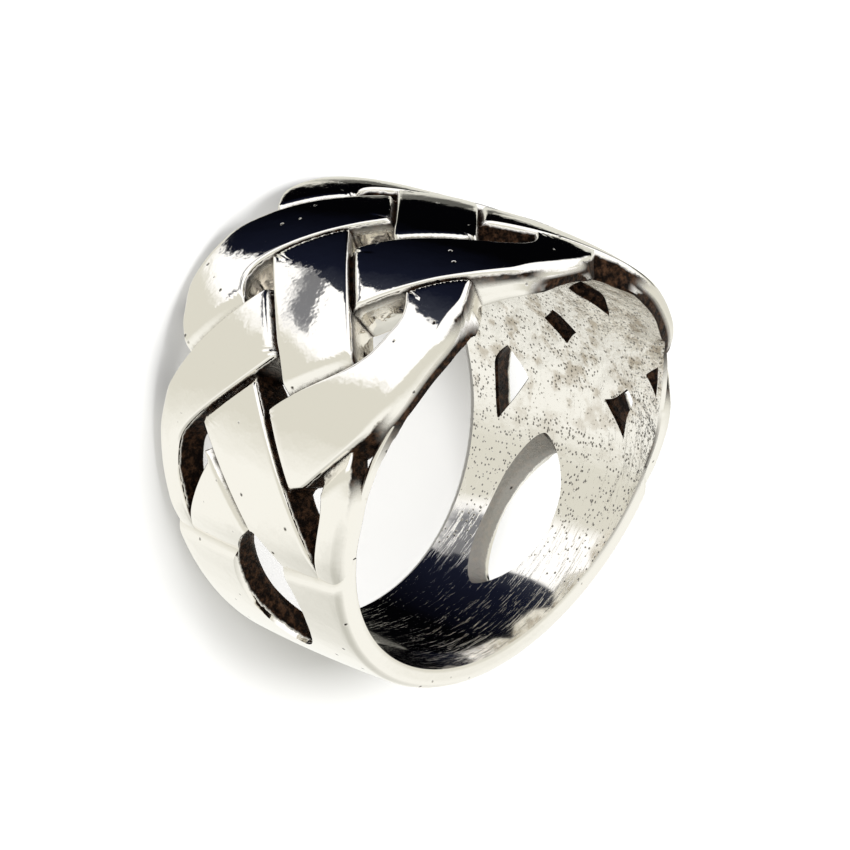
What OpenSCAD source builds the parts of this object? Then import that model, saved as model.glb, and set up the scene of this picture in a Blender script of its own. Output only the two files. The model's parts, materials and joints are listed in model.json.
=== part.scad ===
/* [Band] */
// Diameter of the finger hole
bore_d = 19; // [14:0.1:24]
// Width of the head along the finger
head_w = 16.6; // [12:0.1:22]
// Width of the shank at the back of the finger
shank_w = 8.2; // [4:0.1:11]
// Thickness of the metal in the middle of the head
head_t = 2.35; // [1.8:0.05:3]
// How much thinner the head is at its rims than in its middle
crown = 0.9; // [0:0.05:1.1]
// Depth that the middle of the head is flattened by
head_flat = 0.42; // [0:0.02:0.7]
// Shift of the head towards the upper rim
head_shift = 0.2; // [0:0.05:0.6]
// Thickness of the metal at the back of the shank
shank_t = 1.1; // [0.8:0.05:2.5]

/* [Braid] */
// Width of one strand
strand_w = 3.7; // [2.7:0.1:4.4]
// Angle between two rows of crossings
row_angle = 21; // [15:0.5:23]
// Depth that a strand sinks under the strand that crosses over it
weave = 0.5; // [0.1:0.02:0.7]
// How much further a strand reaches at the finger than on top, because its walls slope
strand_flare = 0.15; // [0:0.01:0.3]
// Share of its width that a strand loses where it turns at the upper rim
near_pinch = 0.34; // [0:0.02:0.5]
// Sharpness of the turns at the rims
turn = 0.93; // [0.7:0.01:0.98]
// Width of an edge strand where it runs into the shank
edge_strand_w = 1.4; // [0.8:0.1:3]

/* [Prongs] */
// Width of the thin prong along the upper rim
prong_w = 0.35; // [0.3:0.05:1]
// Width of the slit beside the prong at its open end
slit_w = 0.2; // [0.15:0.05:0.6]
// Thickness of the prong
prong_t = 0.5; // [0.4:0.05:1.2]

/* [Shank openings] */
// Angle from the middle of the head to the middle of the first opening
first_opening = 117; // [112:1:130]
// Angle from the middle of the head to the middle of the second opening
second_opening = 125; // [112:1:130]
// Length of an almond opening round the band
opening_l = 7.6; // [4:0.1:10]
// Width of an almond opening
opening_w = 3.9; // [1.5:0.1:4.5]
// Shift of the first opening to the upper rim, and of the second to the lower rim
opening_shift = 0.6; // [0:0.05:1]

/* [Hidden] */
silver = "#c9c8c4";

bore_r = bore_d / 2;
// depth of the castings inside the wall of the finger hole, before it is bored
below = 0.65;
foot_step = 0.11;
// height of the square edge along the finger hole
edge_h = 0.15;
bore_fn = 180;

// half the width of the band at an angle from the middle of the head
rim_power = 1.15;
function half_w(a) = shank_w / 2 + (head_w - shank_w) / 2 * pow((1 + cos(a)) / 2, rim_power);
function middle(a) = head_shift * (1 + cos(a)) / 2;

// smooth step from 0 at x = from to 1 at x = to
function ease(x, from, to) =
    let (f = min(max((x - from) / (to - from), 0), 1))
    f * f * (3 - 2 * f);

// thickness of the metal at an angle from the middle of the head, and at a place along the
// finger, because the head is crowned, and flattened a little except at its lower rim
flat_at = -12;
flat_reach = 48;
flat_from = -8;
flat_full = -2;
function thick(a) = shank_t + (head_t - shank_t) * (1 + cos(a)) / 2;
function thick_at(a, z) =
    thick(a) - crown * (1 + cos(a)) / 2 * pow((z - middle(a)) / half_w(a), 2)
    - head_flat * (1 - ease(abs(a - flat_at), 0, flat_reach)) * ease(z, flat_from, flat_full);

// point at angle a from the middle of the head, radius r and place z along the finger,
// on a fine grid so that neighbouring faces meet
grid = 0.001;
function on_grid(p) = [for (x = p) round(x / grid) * grid];
function ring_point(a, r, z) = on_grid([r * sin(a), -r * cos(a), z]);

// half a section from its edge to its middle: share of the half width, share of the height
strand_half = [[0.99, 0.8], [0.88, 0.97], [0.45, 0.99]];
shank_half = [[0.97, 0.45], [0.9, 0.74], [0.68, 0.93], [0.35, 0.99]];
prong_half = [[0.8, 0.75]];

// points of one section, from the lower foot over the top to the upper foot: its profile is
// a list of places along the finger and heights
function section(a, z, half, shape, heights, low_foot, high_foot, foot) =
    let (lower = [for (s = shape) -s[0]],
         upper = [for (i = [len(shape) - 1:-1:0]) shape[i][0]],
         shares = concat([for (s = shape) s[1]], [1], [for (i = [len(shape) - 1:-1:0]) shape[i][1]]),
         places = [for (p = concat(lower, [0], upper)) z + p * half],
         tops = [for (i = [0:len(places) - 1]) [places[i], shares[i] * heights[i]]],
         profile = concat([[low_foot, -foot], [low_foot, edge_h]], tops,
                          [[high_foot, edge_h], [high_foot, -foot]]))
    [for (p = profile) ring_point(a, bore_r + p[1], p[0])];

// the places along the finger at which a section needs its heights
function section_places(z, half, shape) =
    concat([for (s = shape) z - s[0] * half], [z],
           [for (i = [len(shape) - 1:-1:0]) z + shape[i][0] * half]);

// solid through a list of sections, each with as many points
module loft(sections) {
    n = len(sections[0]);
    last = len(sections) - 1;
    points = [for (s = sections) each s];
    sides = [for (i = [0:last - 1], j = [0:n - 1])
        let (a = i * n + j, b = i * n + (j + 1) % n)
        each [[a, b, b + n], [a, b + n, a + n]]];
    first_cap = [[for (j = [n - 1:-1:0]) j]];
    last_cap = [[for (j = [0:n - 1]) last * n + j]];
    polyhedron(points, concat(first_cap, sides, last_cap));
}

// rows of crossings are counted from the middle of the head, positive to one side
turn_row = 4;
last_row = 5.5;
row_step = 0.25;
straight_row = 2.6;

// zigzag with rounded corners: -1 at row 0, 1 at row 4 and -1 again at row 8
function zigzag(row) = -asin(turn * cos(45 * row)) / asin(turn);

// each strand: side of the finger that it turns to, rows that it is shifted by, and how
// much it spreads towards its ends
STRANDS = [[-1, 0, 0], [-1, 2, 0.45], [1, 2, -0.25], [1, 0, 0]];

// each crossing: its row, the strand that passes over, the strand that passes under and
// the width of the groove beside the one that passes over
CROSSINGS = [
    [4, 2, 1, 0.5], [3, 0, 2, 0.75], [3, 1, 3, 0.9], [2, 3, 0, 0.4], [1, 2, 3, 0.4],
    [1, 0, 1, 0.4], [0, 1, 2, 0.4], [-1, 3, 1, 0.4], [-1, 2, 0, 0.4], [-2, 0, 3, 0.4],
    [-3, 1, 0, 0.5], [-3, 3, 2, 0.5], [-4, 2, 1, 0.5]
];

// half the width of strand i across itself
strand_b = strand_w / 2;
pinch_from = 0.45;
narrow_row = 4.4;
spread_from = 3;
function strand_half_w(i, row) =
    let (s = STRANDS[i], b = strand_b * (1 - near_pinch * ease(s[0] * zigzag(row - s[1]), pinch_from, 1)))
    s[1] == 0
    ? b - (b - edge_strand_w / 2) * ease(abs(row), straight_row, narrow_row)
    : b * (1 + s[2] * ease(abs(row), spread_from, last_row));

// one edge strand leaves room for the prong and the slit, which narrows to its end, and
// stays back from the lower rim in the middle of the head, so that the ring rests on
// the turns at both sides of it
// The ends of both edge strands sink into the side of the shank.
head_rest = 0.3;
rest_reach = 2;
slit_full = 3.1;
slit_end = 4.3;
sink = 0.1;
function slit_share(row) =
    ease(abs(row), straight_row, slit_full) - ease(abs(row), slit_full, slit_end);
function slit_strand(i) = STRANDS[i][0] == 1 && STRANDS[i][1] == 0;
function draw_in(i, row) =
    (STRANDS[i][1] != 0 ? 0 : sink * ease(abs(row), turn_row, last_row))
    + (slit_strand(i)
       ? head_rest * (1 - ease(abs(row), 0, rest_reach)) + (prong_w + slit_w) * slit_share(row) : 0);

// an edge strand stays at its rim beyond its turn, and a middle strand keeps to the
// upper rim for longer where it comes from the shank
turn_hold = 1.8;
function phase(i, row) =
    let (s = STRANDS[i], side = -s[0] * sign(s[1]) * row, f = (side - 2) / 2)
    s[1] == 0 ? min(max(row, -turn_row), turn_row)
    : f > 0 && f < 1 ? -s[0] * (2 + 2 * pow(f, turn_hold)) : row;

// the crossings in the middle lie a little nearer to the upper rim
weave_shift = 0.3;
function strand_z(i, row) =
    let (s = STRANDS[i], swing = zigzag(phase(i, row) - s[1]),
         reach = half_w(row * row_angle) - strand_half_w(i, row) - draw_in(i, row))
    middle(row * row_angle) + s[0] * reach * swing + weave_shift * (1 - swing * swing);

// how much wider a strand is along the finger than across itself, because it slants
function slant(i, row) =
    let (e = 0.1, slope = (strand_z(i, row + e) - strand_z(i, row - e))
         / (2 * e * row_angle * PI / 180 * (bore_r + thick(row * row_angle))))
    sqrt(1 + slope * slope);

// depth that strand i sinks at a place, along the edge of each strand that passes over it
under_edge = 0.25;
over_rows = 0.95;
clear_rows = 1.25;
function strand_dip(i, row, z) =
    max(0, max([for (c = CROSSINGS)
        c[2] != i || abs(row - c[0]) > clear_rows ? 0
        : let (away = abs(z - strand_z(c[1], row)) / slant(c[1], row) - strand_half_w(c[1], row))
          weave * (1 - ease(abs(row - c[0]), over_rows, clear_rows))
          * (1 - ease(away, -under_edge, c[3]))]));

// the flare at the foot of a strand stays inside the rims and out of the slit
flare_share = 0.3;
function flare(i, row) =
    strand_flare * (slit_strand(i) ? 1 - ease(slit_share(row), 0, flare_share) : 1);

// the ends of the strands are lower, where they run into the shank
rim_inset = 0.02;
end_drop = 0.4;
drop_row = 4.7;
function strand_section(i, row) =
    let (a = row * row_angle, z = strand_z(i, row), half = strand_half_w(i, row) * slant(i, row),
         rim = half_w(a) - rim_inset * (i + 1), low_end = 1 - end_drop * ease(abs(row), drop_row, last_row),
         heights = [for (w = section_places(z, half, strand_half))
             thick_at(a, w) * low_end - strand_dip(i, row, w)],
         low_foot = min(z - half, max(z - half - flare(i, row), middle(a) - rim)),
         high_foot = max(z + half, min(z + half + flare(i, row), middle(a) + rim)))
    section(a, z, half, strand_half, heights, low_foot, high_foot, below + i * foot_step);

function strand_sections(i) =
    let (start = -last_row + i * row_step / len(STRANDS))
    [for (row = [start:row_step:last_row]) strand_section(i, row)];

module strand(i) {
    loft(strand_sections(i));
}

// plain band round the back of the finger, low where it starts under the strands
shank_start = 100;
shank_step = 4;
shank_lead = 9;

function shank_lift(a) =
    end_drop + (1 - end_drop) * ease(180 - abs(180 - a), shank_start, shank_start + shank_lead);

function shank_sections() =
    [for (i = [0:(360 - 2 * shank_start) / shank_step])
        let (a = shank_start + i * shank_step, half = half_w(a),
             heights = [for (w = section_places(middle(a), half, shank_half))
                 shank_lift(a) * thick_at(a, w)])
        section(a, middle(a), half, shank_half, heights, middle(a) - half, middle(a) + half,
                below - foot_step)];

module shank() {
    loft(shank_sections());
}

// thin rail on the upper rim, from the shank to the turn of the strand before it
prong_from = 50;
prong_to = 94;
prong_step = 4;
prong_inset = 0.1;

function prong_sections(side) =
    [for (i = [prong_from:prong_step:prong_to])
        let (a = side > 0 ? i : i - prong_from - prong_to, half = prong_w / 2,
             z = middle(a) + half_w(a) - prong_inset - half)
        section(a, z, half, prong_half, [for (w = section_places(z, half, prong_half)) prong_t],
                z - half, z + half, below - 2 * foot_step)];

module prong(side) {
    loft(prong_sections(side));
}

// almond cut through the band from outside
module almond_opening(a, z) {
    arc_r = (opening_l * opening_l + opening_w * opening_w) / (4 * opening_w);
    translate([0, 0, z])
        rotate([0, 0, a])
        rotate([90, 0, 0])
            intersection() {
                translate([0, arc_r - opening_w / 2, 0]) cylinder(r = arc_r, h = bore_d, $fn = bore_fn);
                translate([0, opening_w / 2 - arc_r, 0]) cylinder(r = arc_r, h = bore_d, $fn = bore_fn);
            }
}

// the wall of the finger hole starts and ends at the back of the shank
module finger_hole() {
    rotate([0, 0, 90]) cylinder(d = bore_d, h = 2 * head_w, center = true, $fn = bore_fn);
}

// the ring lies on the lower edge of the shank and on the turns of the strands at the head
shank_edge = ring_point(180, bore_r + edge_h, -shank_w / 2);
braid_points = [for (i = [0:len(STRANDS) - 1], s = strand_sections(i), p = s)
    if (norm([p.x, p.y]) > bore_r && p.y < 0) p];
tilt = max([for (p = braid_points) atan((shank_edge.z - p.z) / (shank_edge.y - p.y))]);

function lying(p) = [p.x, p.y * cos(tilt) + p.z * sin(tilt), p.z * cos(tilt) - p.y * sin(tilt)];
lying_points = [for (p = concat(braid_points, [for (s = shank_sections(), p = s) p])) lying(p)];
low = [for (i = [0:2]) min([for (p = lying_points) p[i]])];
high = [for (i = [0:2]) max([for (p = lying_points) p[i]])];

module ring() {
    color(silver)
        translate([-(low.x + high.x) / 2, -(low.y + high.y) / 2, -low.z])
        rotate([-tilt, 0, 0])
            difference() {
                union() {
                    shank();
                    for (i = [0:len(STRANDS) - 1])
                        strand(i);
                    prong(1);
                    prong(-1);
                }
                finger_hole();
                almond_opening(first_opening, opening_shift);
                almond_opening(-second_opening, -opening_shift);
            }
}

ring();
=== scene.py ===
import json
import math
import bpy
import bmesh
import numpy as np
from mathutils import Euler, Matrix, Vector


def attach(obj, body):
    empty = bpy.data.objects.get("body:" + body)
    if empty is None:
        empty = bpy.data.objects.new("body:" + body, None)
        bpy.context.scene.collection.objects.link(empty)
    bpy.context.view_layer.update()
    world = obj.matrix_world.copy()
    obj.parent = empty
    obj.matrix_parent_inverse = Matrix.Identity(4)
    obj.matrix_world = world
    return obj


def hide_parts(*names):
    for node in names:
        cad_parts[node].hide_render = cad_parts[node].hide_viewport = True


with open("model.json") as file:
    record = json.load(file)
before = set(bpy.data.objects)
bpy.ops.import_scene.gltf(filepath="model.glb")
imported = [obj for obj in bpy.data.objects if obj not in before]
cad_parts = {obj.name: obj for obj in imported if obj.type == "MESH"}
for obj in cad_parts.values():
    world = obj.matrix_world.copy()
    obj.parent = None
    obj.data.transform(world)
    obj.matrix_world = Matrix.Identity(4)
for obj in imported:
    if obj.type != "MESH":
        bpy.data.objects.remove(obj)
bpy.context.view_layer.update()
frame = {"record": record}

# The finger hole. A ring is sized and laid out from its finger hole, so the radius, the
# middle and the axis of the hole come first. Angles are counted round it from the middle
# of the head, in degrees, and places along the finger from the middle of the hole, in mm.
MM = 0.001
hole = next(m for m in frame["record"]["mounts"] if m["name"] == "finger_bore")
hole_r = hole["dims"]["r_mm"]
along = Vector(hole["axis"]).normalized()
side = Vector((1, 0, 0))
across = along.cross(side)
turned = Matrix((side, across, along)).transposed()
place = Matrix.Translation(hole["pos_m"]) @ turned.to_4x4()


def around(angle, radius, z):
    a = np.radians(angle)
    return np.stack([radius * np.sin(a), -radius * np.cos(a), z + 0 * a], axis=-1)


def ease(x, start, end):
    f = np.clip((x - start) / (end - start), 0, 1)
    return f * f * (3 - 2 * f)


# The band. It is wide and thick at the head, narrow and thin behind the finger, and the
# head is crowned, so its rims are thinner than its middle. The strands, the shank and the
# rails all follow it.
head_w, shank_w = 16.6, 8.2
head_t, shank_t = 2.35, 1.1
head_flat, flat_at, flat_reach = 0.42, -12.0, 48.0
flat_from, flat_full = -8.0, -2.0
crown = 0.9
head_shift = 0.2
rim_power = 1.15


def headness(angle):
    return (1 + np.cos(np.radians(angle))) / 2


def half_width(angle):
    return shank_w / 2 + (head_w - shank_w) / 2 * headness(angle) ** rim_power


def middle(angle):
    return head_shift * headness(angle)


def thickness(angle, z=0.0):
    off = (z - middle(angle)) / half_width(angle)
    flat = head_flat * (1 - ease(np.abs(angle - flat_at), 0, flat_reach)) * ease(z, flat_from, flat_full)
    return shank_t + (head_t - shank_t) * headness(angle) - flat - crown * headness(angle) * off ** 2


# A worn strip of the casting, almost flat on top with rounded edges. Its walls slope, so that
# the pattern could leave its mould. The strands, the rails and the shank are such strips,
# bent round the finger hole and reaching a little into it until it is bored.
foot_depth = 0.6
inner_ease = 0.13
wall_h = 0.16
dome = 0.05
rim_up, rim_back, rim_reach = 0.75, 0.5, 0.8
wall_points, corner_points, top_points = 4, 7, 29
crowding = 3.0


def crowd(low, high, angle, dip):
    # shares of the way across a top, closer together where it dips, so that the dip is smooth
    even = np.linspace(0, 1, 61)
    change = np.abs(np.diff(dip(angle, low + (high - low) * even))) / (high - low) * 60
    reached = np.hstack([0 * low, np.cumsum(1 + crowding * change, axis=1)])
    reached = reached / reached[:, -1:]
    wanted = np.linspace(0, 1, top_points)[1:-1]
    return np.array([np.interp(wanted, r, even) for r in reached])


def no_dip(angle, z):
    return 0 * z


def strip(name, angle, z, half, height, corner=0.2, flare=0.0, rim_inset=0.0, dip=no_dip, round_rim=True):
    # shares of the wall's height and of the rounded corner, from the foot to the top
    wall = np.linspace(0, 1, wall_points, endpoint=False)
    turn_by = np.linspace(0, math.pi / 2, corner_points)
    rise = np.concatenate([wall, np.ones(corner_points)])
    up = np.concatenate([0 * wall, np.sin(turn_by)])
    back = np.concatenate([0 * wall, 1 - np.cos(turn_by)])
    z, half, a = z[:, None], half[:, None], angle[:, None]

    def top(place_z):
        return height(a, place_z) - dome * ((place_z - z) / half) ** 2 - dip(a, place_z)

    sides = []
    for sign in (-1, 1):
        rim = sign * (middle(a) + sign * (half_width(a) - rim_inset))
        at_rim = (1 - ease(rim - sign * z - half, 0.1, rim_reach)) * round_rim
        corner_back = np.minimum(corner + (rim_back - corner) * at_rim, 0.6 * half)
        edge_z = z + sign * (half - corner_back * back)
        corner_up = np.minimum(corner + (rim_up - corner) * at_rim,
                               0.6 * (height(a, edge_z[:, :1]) - wall_h))
        tall = wall_h + (top(edge_z) - corner_up - wall_h) * rise + corner_up * up
        out = np.minimum(flare * (1 - rise) ** 1.4, np.maximum(rim - sign * edge_z, 0))
        place_z = edge_z + sign * out
        inset = sign * inner_ease * np.array([[4.0, 1.0, 0.3]])
        deep = np.array([[-foot_depth, 0.0, wall_h / 2]]) + 0 * a
        sides.append((np.hstack([place_z[:, :1] - inset, place_z]), np.hstack([deep, tall])))
    low, high = sides[0][0][:, -1:], sides[1][0][:, -1:]
    top_z = low + (high - low) * crowd(low, high, a, dip)
    place_z = np.hstack([sides[0][0], top_z, sides[1][0][:, ::-1]])
    tall = np.hstack([sides[0][1], top(top_z), sides[1][1][:, ::-1]])
    points = around(a + 0 * place_z, hole_r + tall, place_z)
    count, n = points.shape[:2]
    faces = [list(range(n)), [(count - 1) * n + j for j in range(n)][::-1]]
    for i in range(count - 1):
        for j in range(n):
            k = (j + 1) % n
            faces.append([i * n + j, (i + 1) * n + j, (i + 1) * n + k, i * n + k])
    return solid(name, points.reshape(-1, 3), faces)


def waves(angle, z, count, reach, seed):
    # sum of slow waves round the hole and along the finger, for the uneven cast surfaces
    rng = np.random.default_rng(seed)
    total = 0 * angle * z
    for _ in range(count):
        turns, pitch = rng.integers(4, 30), rng.uniform(-1, 1) * reach
        total = total + np.cos(np.radians(angle) * turns + pitch * z + rng.uniform(0, 2 * math.pi))
    return total / math.sqrt(count)


def solid(name, points, faces):
    mesh = bpy.data.meshes.new(name)
    mesh.from_pydata([Vector(p) for p in points], [], faces)
    piece = bpy.data.objects.new(name, mesh)
    bpy.context.scene.collection.objects.link(piece)
    return piece


# The four strands of the weave. Each is a flat strip that zigzags from rim to rim over the
# head, over one strand and under the next, and sinks into the shank at both ends. Rows of
# crossings are counted from the middle of the head.
strand_w, edge_strand_w = 3.7, 1.4
strand_flare, flare_swing, strand_corner = 0.32, 0.15, 0.18
near_pinch = 0.34
row_angle = 21.0
weave, groove_in = 0.38, -0.04
crossing_reach = (0.95, 1.25)
end_row, end_drop = 4.7, 0.4
weave_shift = 0.3
turn = 0.93
turn_row, last_row, straight_row = 4.0, 5.5, 2.6
head_rest = 0.3
rail_w, slit_w = 0.35, 0.2
slit_full, slit_end = 3.1, 4.3
sink = 0.1
turn_hold = 1.8
strand_table = (
    # side of the finger it turns to, rows it is shifted by, how much it spreads to its ends
    (-1, 0, 0.0),
    (-1, 2, 0.45),
    (1, 2, -0.25),
    (1, 0, 0.0),
)
crossings = (
    # row, strand that passes over, strand that passes under, width of the groove between them
    (4, 2, 1, 0.55), (3, 0, 2, 0.75), (3, 1, 3, 0.9), (2, 3, 0, 0.45), (1, 2, 3, 0.4),
    (1, 0, 1, 0.4), (0, 1, 2, 0.4), (-1, 3, 1, 0.4), (-1, 2, 0, 0.4), (-2, 0, 3, 0.4),
    (-3, 1, 0, 0.5), (-3, 3, 2, 0.5), (-4, 2, 1, 0.5),
)


def zigzag(row):
    return -np.arcsin(turn * np.cos(np.radians(45 * row))) / math.asin(turn)


def slit_share(row):
    return ease(np.abs(row), straight_row, slit_full) - ease(np.abs(row), slit_full, slit_end)


def strand_half(number, row):
    to, shift, spread = strand_table[number]
    b = strand_w / 2 * (1 - near_pinch * ease(to * zigzag(row - shift), 0.45, 1))
    if shift == 0:
        return b - (b - edge_strand_w / 2) * ease(np.abs(row), straight_row, turn_row + 0.4)
    return b * (1 + spread * ease(np.abs(row), 3, last_row))


def strand_middle(number, row):
    to, shift, spread = strand_table[number]
    reach = half_width(row * row_angle) - strand_half(number, row)
    if shift == 0:
        phase = np.clip(row, -turn_row, turn_row)
        reach = reach - sink * ease(np.abs(row), turn_row, last_row)
    else:
        f = np.clip((-to * row - 2) / 2, 0, 1)
        phase = np.where((f > 0) & (f < 1), -to * (2 + 2 * f ** turn_hold), row)
    if number == 3:
        reach = reach - head_rest * (1 - ease(np.abs(row), 0, 2)) - (rail_w + slit_w) * slit_share(row)
    swing = zigzag(phase - shift)
    return middle(row * row_angle) + to * reach * swing + weave_shift * (1 - swing ** 2)


def strand_slant(number, row):
    step = 0.05
    run = 2 * step * math.radians(row_angle) * (hole_r + thickness(row * row_angle))
    slope = (strand_middle(number, row + step) - strand_middle(number, row - step)) / run
    return np.sqrt(1 + slope ** 2)


def strand(number):
    row = np.arange(-last_row + number * 0.01, last_row, 0.04)
    half = strand_half(number, row) * strand_slant(number, row)

    def height(angle, z):
        return thickness(angle, z) * (1 - end_drop * ease(np.abs(angle / row_angle), end_row, last_row))

    def dip(angle, z):
        # the strand sinks under each strand that crosses over it, along the edge of that one
        deep = 0 * z
        for at, over, under, groove_out in crossings:
            if under == number:
                r = angle / row_angle
                away = np.abs(z - strand_middle(over, r)) / strand_slant(over, r) - strand_half(over, r)
                near = 1 - ease(np.abs(r - at), *crossing_reach)
                deep = np.maximum(deep, weave * near * (1 - ease(away, -groove_in, groove_out)))
        return deep

    flare = strand_flare + flare_swing * waves(row[:, None] * row_angle, np.full((1, 1), number), 8, 2.0, 5)
    flare = np.maximum(flare, 0.05)
    if number == 3:
        flare = flare * (1 - ease(slit_share(row), 0, 0.3))[:, None]
    return strip(f"strand_{number}", row * row_angle, strand_middle(number, row), half, height,
                 strand_corner, flare, 0.02 + 0.02 * number, dip)


strands = [strand(i) for i in range(len(strand_table))]

# The shank and the two rails. The shank is the plain band behind the finger, low where it
# starts under the strands. The rails are thin strips left along the upper rim of the
# casting, beside the slit of the edge strand.
shank_start, shank_lead = 100.0, 9.0
rail_from, rail_to = 50.0, 94.0
rail_t, rail_inset = 0.5, 0.1

shank_angle = np.arange(shank_start, 360 - shank_start + 0.1, 1.0)


def shank_height(angle, z):
    from_end = ease(180 - np.abs(180 - angle), shank_start, shank_start + shank_lead)
    return (0.4 + 0.6 * from_end) * thickness(angle, z)


def rail(name, direction):
    angle = direction * np.arange(rail_from, rail_to, 1.0)[::direction]
    half = np.full_like(angle, rail_w / 2)
    z = middle(angle) + half_width(angle) - rail_inset - half
    return strip(name, angle, z, half, lambda a, z: rail_t + 0 * z, 0.08,
                 round_rim=False)


shank = strip("shank", shank_angle, middle(shank_angle), half_width(shank_angle), shank_height, 0.35,
              round_rim=False)
rails = [rail("rail_left", 1), rail("rail_right", -1)]

# The bore and the almond openings. The finger hole is turned out of the casting, and the
# two almonds are pierced where the shank starts, with eased edges inside and outside.
opening_l, opening_w = 7.2, 3.7
openings = ((117.0, 0.6), (-125.0, -0.6))
opening_ease, almond_point = 0.18, 1.3
bore_sides, bore_rows = 360, 70
lump, groove, comfort = 0.035, 0.16, 0.1
rough_head, deep_grooves = (0.45, 0.85), (1.1, 1.9)


def bore():
    angle = np.arange(bore_sides) * 360.0 / bore_sides
    z = np.concatenate([[-head_w], np.linspace(-9, 9, bore_rows), [head_w]])
    a, along_z = np.meshgrid(angle, z)
    rough = ease(headness(a), *rough_head)
    lumps = lump * waves(a, along_z, 24, 5.0, 3) * rough
    grooves = groove * ease(waves(a, along_z, 12, 3.0, 8), *deep_grooves) * rough
    worn = comfort * np.minimum(np.abs(along_z - middle(a)) / half_width(a), 1.2) ** 3
    points = around(a, hole_r + lumps + grooves + worn, along_z).reshape(-1, 3)
    n, count = bore_sides, len(z)
    faces = [list(range(n))[::-1], [(count - 1) * n + i for i in range(n)]]
    for j in range(count - 1):
        for i in range(n):
            k = (i + 1) % n
            faces.append([j * n + i, j * n + k, (j + 1) * n + k, (j + 1) * n + i])
    return solid("bore", points, faces)


def almond(name, angle, z):
    t = np.linspace(0, 2 * math.pi, 72, endpoint=False)
    blunt = np.abs(np.sin(t)) ** almond_point * np.sign(np.sin(t))
    outline = np.stack([-opening_l / 2 * np.cos(t), opening_w / 2 * blunt], axis=-1)
    normal = outline / np.linalg.norm(outline, axis=1)[:, None]
    wall = thickness(angle)
    rings = []
    for height, flare in ((-2.0, 4.0), (-0.1, 1.4), (0.02, 0.8), (0.2, 0.2), (0.4, 0.0),
                          (wall - 0.35, 0.0), (wall - 0.15, 0.25), (wall + 0.05, 1.0), (wall + 2, 5.0)):
        rim = outline + normal * opening_ease * flare
        a = math.radians(angle)
        out = np.array([math.sin(a), -math.cos(a), 0])
        tangent = np.array([math.cos(a), math.sin(a), 0])
        rings.append((hole_r + height) * out + rim[:, :1] * tangent
                     + (rim[:, 1:] + z) * np.array([0, 0, 1]))
    n, count = len(outline), len(rings)
    faces = [list(range(n)), [(count - 1) * n + j for j in range(n)][::-1]]
    for i in range(count - 1):
        for j in range(n):
            k = (j + 1) % n
            faces.append([i * n + j, (i + 1) * n + j, (i + 1) * n + k, i * n + k])
    return solid(name, np.concatenate(rings), faces)


# The casting. All the strips run together as one piece of silver, which is then bored and
# pierced. It takes the place of the plain node of the frame.
ring = strands[0]
ring.name = "cast_ring"


weld, speck = 0.003, 0.002


def combine(tool, operation):
    step = ring.modifiers.new("step", "BOOLEAN")
    step.operation = operation
    step.solver = "MANIFOLD"
    step.object = tool
    with bpy.context.temp_override(object=ring, active_object=ring):
        bpy.ops.object.modifier_apply(modifier=step.name)
    bpy.data.objects.remove(tool)


for piece in strands[1:] + [shank] + rails:
    combine(piece, "UNION")
for tool in [bore()] + [almond(f"almond_{i}", *o) for i, o in enumerate(openings)]:
    combine(tool, "DIFFERENCE")

work = bmesh.new()
work.from_mesh(ring.data)
bmesh.ops.remove_doubles(work, verts=work.verts, dist=weld)
bmesh.ops.dissolve_degenerate(work, edges=work.edges, dist=speck)
bmesh.ops.recalc_face_normals(work, faces=work.faces)
work.to_mesh(ring.data)
work.free()

# The finish of each place. The outside was polished and the finger hole filed. Tarnish stays
# on the walls of the gaps and in a line along the edge of the finger hole, which is thick
# under the head and thin beside the shank. On the right side, from where the shank starts,
# the tarnish is weaker.
POLISHED, FILED = 0, 1
filed_facing, filed_reach = -0.85, 0.3
worn_rim = (0.1, 0.5)
rim_line, line_border, head_rim = 0.7, 0.2, (0.62, 0.75)
bright_from, bright_to, bright_border = 3.0, 62.0, 6.0
bright_depth = (0.45, 0.7)
right_fade_share, right_fade_from = 0.4, 100.0
shank_line, shank_line_border, line_tarnish = 0.35, 0.15, 0.8
line_starts, line_ends = (80.0, 95.0), (115.0, 145.0)
ring.data.materials.clear()
for polygon in ring.data.polygons:
    centre, facing = polygon.center, polygon.normal
    radius = math.hypot(centre.x, centre.y)
    outward = (facing.x * centre.x + facing.y * centre.y) / radius
    filed = outward < filed_facing and radius < hole_r + filed_reach
    polygon.material_index = FILED if filed else POLISHED


def keep(name, kind, field, values):
    ring.data.attributes.new(name, kind, "POINT").data.foreach_set(field, np.ravel(values))


def keep_places():
    places = np.array([v.co for v in ring.data.vertices])
    x, y, z = places.T
    radius, angle = np.hypot(x, y), np.degrees(np.arctan2(x, -y))
    at_rim = 1 - ease(half_width(angle) - np.abs(z - middle(angle)), *worn_rim)
    line = ease(hole_r + rim_line - radius, 0, line_border) * ease(headness(angle), *head_rim)
    beside = ease(-angle, *line_starts) * (1 - ease(-angle, *line_ends))
    beside = (beside * ease(hole_r + shank_line - radius, 0, shank_line_border)
              * ease(z - middle(angle), 0, 1))
    line = np.maximum(line, line_tarnish * beside)
    depth = hole_r + thickness(angle, z) - radius
    bright = (ease(angle, bright_from, bright_from + bright_border)
              * ease(-angle, -bright_to, bright_border - bright_to))
    bright = bright * ease(depth, *bright_depth) * (1 - at_rim)
    # the tarnish is weaker on the right, from where the shank starts
    right_fade = np.where(angle < -right_fade_from, right_fade_share, 0)
    keep("own_place", "FLOAT_VECTOR", "vector", places)
    keep("outward", "FLOAT_VECTOR", "vector", around(angle, 1.0, 0.0) @ np.array(turned).T)
    keep("depth", "FLOAT", "value", depth)
    keep("tarnish", "FLOAT", "value", (1 - at_rim * (1 - line)) * (1 - right_fade) * (1 - bright))


keep_places()
ring.data.transform(place @ Matrix.Scale(MM, 4))
ring.data.shade_smooth()
ring.data.set_sharp_from_angle(angle=math.radians(38))
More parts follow.
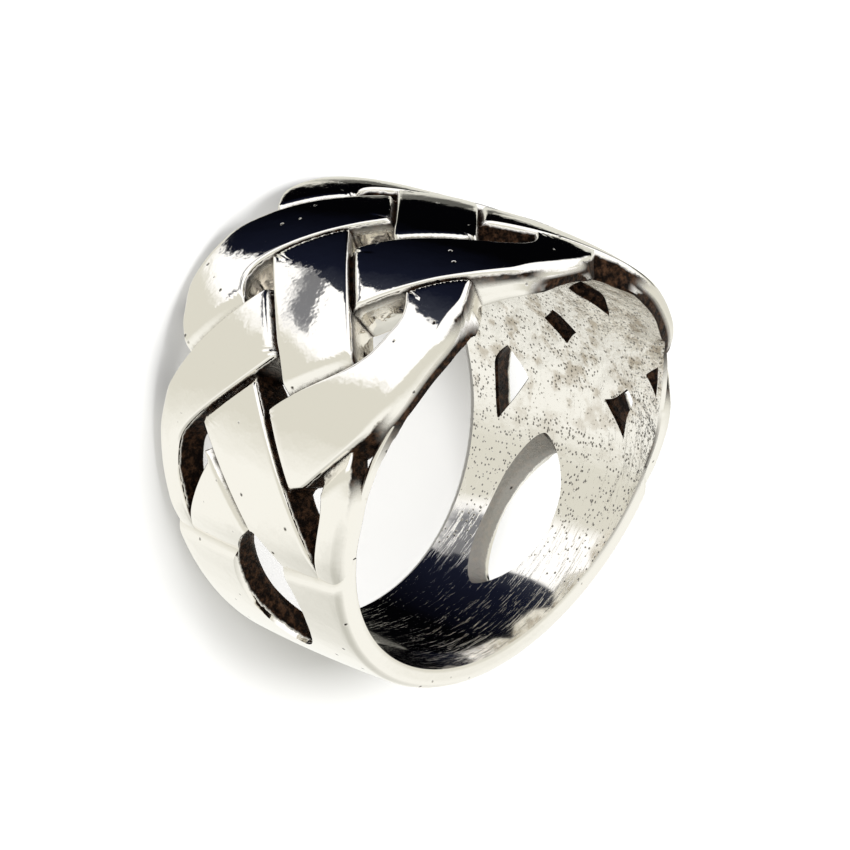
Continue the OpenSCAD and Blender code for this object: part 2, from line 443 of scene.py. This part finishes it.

# The silver. Polished outside, with worn edges and dark tarnish left in the recesses, and
# painted shade darkening the crevices, outside and in the finger hole. It is plainer inside
# the finger hole: pitted and stained in the head, where the casting was only rubbed, and
# smoother in the shank, with scratches that run round it.


def new_group(name, inputs, outputs):
    group = bpy.data.node_groups.new(name, "ShaderNodeTree")
    for label, value in inputs:
        socket = group.interface.new_socket(label, in_out="INPUT", socket_type="NodeSocketFloat")
        socket.default_value = value
    for label in outputs:
        group.interface.new_socket(label, in_out="OUTPUT", socket_type="NodeSocketFloat")
    return group, group.nodes.new("NodeGroupInput").outputs, group.nodes.new("NodeGroupOutput").inputs


def add(tree, kind, inputs=(), **settings):
    node = tree.nodes.new(kind)
    for key, value in settings.items():
        setattr(node, key, value)
    for socket, value in dict(inputs).items():
        if isinstance(value, bpy.types.NodeSocket):
            tree.links.new(value, node.inputs[socket])
        else:
            node.inputs[socket].default_value = value
    return node


def math_node(tree, operation, a, b=0.0, clamp=False):
    return add(tree, "ShaderNodeMath", {0: a, 1: b}, operation=operation, use_clamp=clamp).outputs[0]


def step_up(tree, value, low, high):
    return add(tree, "ShaderNodeMapRange", {"Value": value, "From Min": low, "From Max": high},
               interpolation_type="SMOOTHSTEP").outputs["Result"]


def attribute(tree, name, output):
    return add(tree, "ShaderNodeAttribute", attribute_name=name).outputs[output]


def own_place(tree, stretch=(1.0, 1.0, 1.0)):
    # places on the ring in mm, measured in its own frame, so scratches can follow the band
    return add(tree, "ShaderNodeVectorMath", {0: attribute(tree, "own_place", "Vector"), 1: stretch},
               operation="MULTIPLY").outputs[0]


def noise(tree, scale, detail=3.0, roughness=0.6, stretch=(1.0, 1.0, 1.0)):
    return add(tree, "ShaderNodeTexNoise", {"Vector": own_place(tree, stretch), "Scale": scale,
                                            "Detail": detail, "Roughness": roughness}).outputs["Fac"]


def mix_colour(tree, factor, low, high):
    return add(tree, "ShaderNodeMix", {"Factor": factor, 6: low, 7: high}, data_type="RGBA").outputs[2]


def oxide_and_shade_group():
    # oxide on the walls of the gaps, and painted shade darkening the crevices
    group, given, result = new_group(
        "oxide_and_painted_crevice_shade", [("Reach", 0.0004), ("Start", 0.3), ("Full", 0.5), ("Patchiness", 0.25),
                              ("Left", 1.0)], ["Oxide"])
    uneven = math_node(group, "MULTIPLY", math_node(group, "SUBTRACT", noise(group, 2.6, 4.0), 0.5),
                       given["Patchiness"])
    # ambient occlusion: the colour darkens where the surface is hidden, painted shade in the crevices
    shade = add(group, "ShaderNodeAmbientOcclusion", {"Distance": given["Reach"]}, samples=10,
                only_local=True)
    hidden = math_node(group, "SUBTRACT", math_node(group, "ADD", 1.0, uneven), shade.outputs["AO"])
    painted_crevice_shade = step_up(group, hidden, given["Start"], given["Full"])
    # walls keep their tarnish from a little below the worn edges
    normal = add(group, "ShaderNodeNewGeometry").outputs["Normal"]
    facing = add(group, "ShaderNodeVectorMath", {0: normal, 1: attribute(group, "outward", "Vector")},
                 operation="DOT_PRODUCT").outputs["Value"]
    deep = step_up(group, math_node(group, "ADD", attribute(group, "depth", "Fac"), uneven), 0.2, 0.34)
    wall = math_node(group, "MULTIPLY", deep, step_up(group, facing, 0.75, 0.45))
    share = math_node(group, "MULTIPLY", attribute(group, "tarnish", "Fac"), given["Left"])
    wall = math_node(group, "MULTIPLY", wall, share)
    group.links.new(math_node(group, "MAXIMUM", painted_crevice_shade, wall), result["Oxide"])
    return group


def scratch_group():
    group, given, result = new_group("fine_scratches", [("Fineness", 9.0), ("Share", 0.4)], ["Scratches"])
    lines = noise(group, given["Fineness"], 3.0, 0.7, (0.07, 0.07, 1.0))
    start = math_node(group, "SUBTRACT", 1.0, given["Share"])
    end = math_node(group, "ADD", start, 0.15)
    group.links.new(step_up(group, lines, start, end), result["Scratches"])
    return group


def pit_group():
    group, given, result = new_group("casting_pits", [("Size", 0.16), ("Share", 0.3)], ["Pits"])
    scale = math_node(group, "DIVIDE", 1.0, given["Size"])
    cells = add(group, "ShaderNodeTexVoronoi", {"Vector": own_place(group), "Scale": scale})
    patches = step_up(group, noise(group, 0.45, 2.0), 0.25, 0.55)
    share = math_node(group, "MULTIPLY", given["Share"], patches)
    chosen = math_node(group, "LESS_THAN",
                       add(group, "ShaderNodeSeparateColor", {0: cells.outputs["Color"]}).outputs["Red"],
                       share)
    dot = math_node(group, "SUBTRACT", 1.0, step_up(group, cells.outputs["Distance"], 0.15, 0.45))
    group.links.new(math_node(group, "MULTIPLY", dot, chosen), result["Pits"])
    return group


effects = {"oxide_and_shade": oxide_and_shade_group(), "scratches": scratch_group(), "pits": pit_group()}


def effect(tree, name, **values):
    node = add(tree, "ShaderNodeGroup", node_tree=effects[name])
    for key, value in values.items():
        if isinstance(value, bpy.types.NodeSocket):
            tree.links.new(value, node.inputs[key])
        else:
            node.inputs[key].default_value = value
    return node.outputs[0]


silver_colour = (0.93, 0.905, 0.86, 1)
# browns of the tarnish, which also colour the painted crevice shade
tarnish_and_shade_colours = ((0.01, 0.007, 0.006, 1), (0.10, 0.052, 0.03, 1))
stain_colour = (0.56, 0.5, 0.42, 1)
pit_colour = (0.05, 0.04, 0.035, 1)


def silver(name):
    material = bpy.data.materials.new(name)
    material.use_nodes = True
    shader = material.node_tree.nodes["Principled BSDF"]
    shader.inputs["Metallic"].default_value = 1.0
    ring.data.materials.append(material)
    return material.node_tree, shader


# darkens the silver by the oxide and by the painted shade in the crevices
def tarnish_and_shade_over(tree, shader, tarnish_and_shade, colour, smooth):
    brown = mix_colour(tree, step_up(tree, noise(tree, 3.2, 5.0, 0.7), 0.42, 0.68), *tarnish_and_shade_colours)
    tree.links.new(mix_colour(tree, tarnish_and_shade, colour, brown), shader.inputs["Base Color"])
    rough = add(tree, "ShaderNodeMix", {"Factor": tarnish_and_shade, 2: smooth, 3: 0.55}, data_type="FLOAT")
    tree.links.new(rough.outputs[0], shader.inputs["Roughness"])


def bumps(tree, shader, heights):
    # heights in mm, added up and pressed into the surface
    total = 0.0
    for height, depth in heights:
        total = math_node(tree, "ADD", math_node(tree, "MULTIPLY", height, depth), total)
    bump = add(tree, "ShaderNodeBump", {"Height": total, "Distance": MM, "Strength": 1.0})
    tree.links.new(bump.outputs[0], shader.inputs["Normal"])


def polished_silver():
    tree, shader = silver("polished_silver")
    # oxide on the walls of the gaps, and painted shade in the crevices
    tarnish_and_shade = effect(tree, "oxide_and_shade", Reach=0.00045, Start=0.28, Full=0.44, Patchiness=0.25)
    lines = effect(tree, "scratches", Fineness=14.0, Share=0.38)
    marks = effect(tree, "pits", Size=0.25, Share=0.015)
    colour = mix_colour(tree, marks, silver_colour, pit_colour)
    smooth = math_node(tree, "MULTIPLY_ADD", lines, 0.08)
    smooth.node.inputs[2].default_value = 0.05
    tarnish_and_shade_over(tree, shader, tarnish_and_shade, colour, smooth)
    bumps(tree, shader, ((noise(tree, 0.8, 3.0), 0.02), (math_node(tree, "MULTIPLY", marks, -1.0), 0.05),
                         (math_node(tree, "MULTIPLY", noise(tree, 5.0, 4.0, 0.7), tarnish_and_shade), 0.12)))


def filed_silver():
    tree, shader = silver("filed_silver")
    place_y = add(tree, "ShaderNodeSeparateXYZ", {0: own_place(tree)}).outputs["Y"]
    in_head = step_up(tree, place_y, 5.0, -4.0)
    # in the finger hole there is no wall tarnish, only painted shade in the crevices
    tarnish_and_shade = effect(tree, "oxide_and_shade", Reach=0.0003, Start=0.4, Full=0.7, Patchiness=0.3, Left=0.0)
    lines = effect(tree, "scratches", Fineness=10.0, Share=0.45)
    pitted = math_node(tree, "MULTIPLY", step_up(tree, place_y, 8.2, 4.0), 0.5)
    marks = effect(tree, "pits", Size=0.15, Share=pitted)
    stains = math_node(tree, "MULTIPLY", step_up(tree, noise(tree, 0.9, 4.0, 0.6), 0.48, 0.66), in_head)
    colour = mix_colour(tree, stains, silver_colour, stain_colour)
    colour = mix_colour(tree, math_node(tree, "MULTIPLY", marks, 0.8), colour, pit_colour)
    smooth = math_node(tree, "ADD", math_node(tree, "MULTIPLY", in_head, 0.14),
                       math_node(tree, "MULTIPLY", lines, 0.12))
    tarnish_and_shade_over(tree, shader, tarnish_and_shade, colour, math_node(tree, "ADD", smooth, 0.07))
    bumps(tree, shader, ((lines, 0.003), (math_node(tree, "MULTIPLY", marks, -1.0), 0.04),
                         (math_node(tree, "MULTIPLY", noise(tree, 0.9, 4.0, 0.6), in_head), 0.15)))


polished_silver()
filed_silver()

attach(ring, "root")
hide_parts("ring")

# The floor, the light and the camera. The ring lies on a pale sheet in a light tent, and the
# open side of the tent, towards the head, shows as a dark patch in the polished silver.
floor_half = 2.0
floor_white = 0.62


def floor():
    mesh = bpy.data.meshes.new("floor")
    corners = [(x * floor_half, y * floor_half, 0) for x, y in ((-1, -1), (1, -1), (1, 1), (-1, 1))]
    mesh.from_pydata(corners, [], [(0, 1, 2, 3)])
    piece = bpy.data.objects.new("floor", mesh)
    bpy.context.scene.collection.objects.link(piece)
    material = bpy.data.materials.new("pale_sheet")
    material.use_nodes = True
    shader = material.node_tree.nodes["Principled BSDF"]
    shader.inputs["Base Color"].default_value = (floor_white, floor_white, floor_white * 1.005, 1)
    shader.inputs["Roughness"].default_value = 0.9
    mesh.materials.append(material)
    piece.visible_glossy = False


floor()

# what the silver mirrors, from straight down to straight up past the head
tent_lean = math.radians(10.1)
shaded_sheet = (0.6, 0.6, 0.55)
white_wall = (1.0, 1.0, 0.95)
cream_cloth = (0.77, 0.76, 0.68)
lamp_white = (1.2, 1.2, 1.2)
tent_tones = ((-1.0, shaded_sheet), (-0.6, white_wall), (-0.35, white_wall), (-0.05, cream_cloth),
              (0.36, cream_cloth), (0.45, lamp_white))
# what it mirrors in the open side, from the right to the left
dark_room = (0.001, 0.001, 0.0015)
blue_room = (0.008, 0.01, 0.022)
room_edge = (0.05, 0.055, 0.075)
dark_tones = ((-0.4, dark_room), (0.15, blue_room), (0.45, room_edge))
# the open side: the way its edge faces and how much it leans to the left, then where its
# soft borders start and end
edge_up, edge_left, edge_along = 0.59, -0.79, 0.18
rise_lean = 0.25
edge_border, rise_border, near_border = (0.06, 0.1), (0.42, 0.47), (0.05, 0.2)
# a flap that hangs beside the open side, nearly as dark
flap_near, flap_far = (0.625, 0.645), (0.77, 0.7)
flap_rise, flap_edge = (0.28, 0.36), (-0.42, -0.2)
flap_dark = 0.85
ripple_scale, ripple_height = 14.0, 0.16


def tent():
    world = bpy.data.worlds.new("tent")
    bpy.context.scene.world = world
    world.use_nodes = True
    tree = world.node_tree
    direction = add(tree, "ShaderNodeTexCoord").outputs["Generated"]
    ripple = add(tree, "ShaderNodeTexNoise", {"Vector": direction, "Scale": ripple_scale,
                                              "Detail": 6.0, "Roughness": 0.6}).outputs["Fac"]
    ripple = math_node(tree, "MULTIPLY", math_node(tree, "SUBTRACT", ripple, 0.5), ripple_height)
    up = turned @ Vector((-math.sin(tent_lean), -math.cos(tent_lean), 0))
    left = turned @ Vector((math.cos(tent_lean), -math.sin(tent_lean), 0))

    def along_axis(vector):
        node = add(tree, "ShaderNodeVectorMath", {0: direction, 1: vector}, operation="DOT_PRODUCT")
        return node.outputs["Value"]

    def ramp(value, stops):
        share = math_node(tree, "MULTIPLY_ADD", value, 0.5)
        share.node.inputs[2].default_value = 0.5
        node = add(tree, "ShaderNodeValToRGB", {0: share})
        for i, (at, colour) in enumerate(stops):
            stop = node.color_ramp.elements[i] if i < 2 else node.color_ramp.elements.new(1.0)
            stop.position = (at + 1) / 2
            stop.color = (*colour, 1)
        return node.outputs["Color"]

    facing_edge = edge_up * up + edge_left * left + edge_along * along
    edge = math_node(tree, "ADD", along_axis(facing_edge), ripple)
    rise = math_node(tree, "ADD", along_axis(up - rise_lean * left), ripple)
    near = along_axis(-along)
    open_side = math_node(tree, "MULTIPLY", step_up(tree, edge, *edge_border),
                          math_node(tree, "MULTIPLY", step_up(tree, rise, *rise_border),
                                    step_up(tree, near, *near_border)))
    flap = math_node(tree, "MULTIPLY", step_up(tree, near, *flap_near),
                     step_up(tree, math_node(tree, "SUBTRACT", near, ripple), *flap_far))
    flap = math_node(tree, "MULTIPLY", flap, step_up(tree, rise, *flap_rise))
    flap = math_node(tree, "MULTIPLY", flap, step_up(tree, edge, *flap_edge))
    open_side = math_node(tree, "MAXIMUM", open_side, math_node(tree, "MULTIPLY", flap, flap_dark))
    light = ramp(math_node(tree, "ADD", along_axis(up), ripple), tent_tones)
    dark = ramp(math_node(tree, "ADD", along_axis(left), ripple), dark_tones)
    tree.links.new(mix_colour(tree, open_side, light, dark), tree.nodes["Background"].inputs["Color"])


tent()

camera_lens, camera_distance = 135.5, 147.57
camera_angles = (-21.18, -45.136, -176.713)
camera_shift = (0.00664, 0.02199)


def camera():
    data = bpy.data.cameras.new("camera")
    data.lens = camera_lens
    data.sensor_width = 36.0
    data.shift_x, data.shift_y = camera_shift
    data.clip_start, data.clip_end = 0.01, 10
    seen = Euler([math.radians(a) for a in camera_angles]).to_matrix().to_4x4()
    piece = bpy.data.objects.new("camera", data)
    piece.matrix_world = place @ seen @ Matrix.Translation((0, 0, camera_distance * MM))
    bpy.context.scene.collection.objects.link(piece)
    bpy.context.scene.camera = piece


camera()
bpy.context.scene.view_settings.view_transform = "Standard"


def softbox(name, position, size, power):
    data = bpy.data.lights.new(name, "AREA")
    data.size = size
    data.energy = power
    piece = bpy.data.objects.new(name, data)
    piece.location = position
    piece.rotation_euler = (-Vector(position)).to_track_quat("-Z", "Y").to_euler()
    piece.visible_glossy = False
    bpy.context.scene.collection.objects.link(piece)


softbox("tent_top", (0.0, -0.03, 0.3), 0.12, 0.9)
softbox("tent_side", (0.22, -0.12, 0.12), 0.15, 0.5)
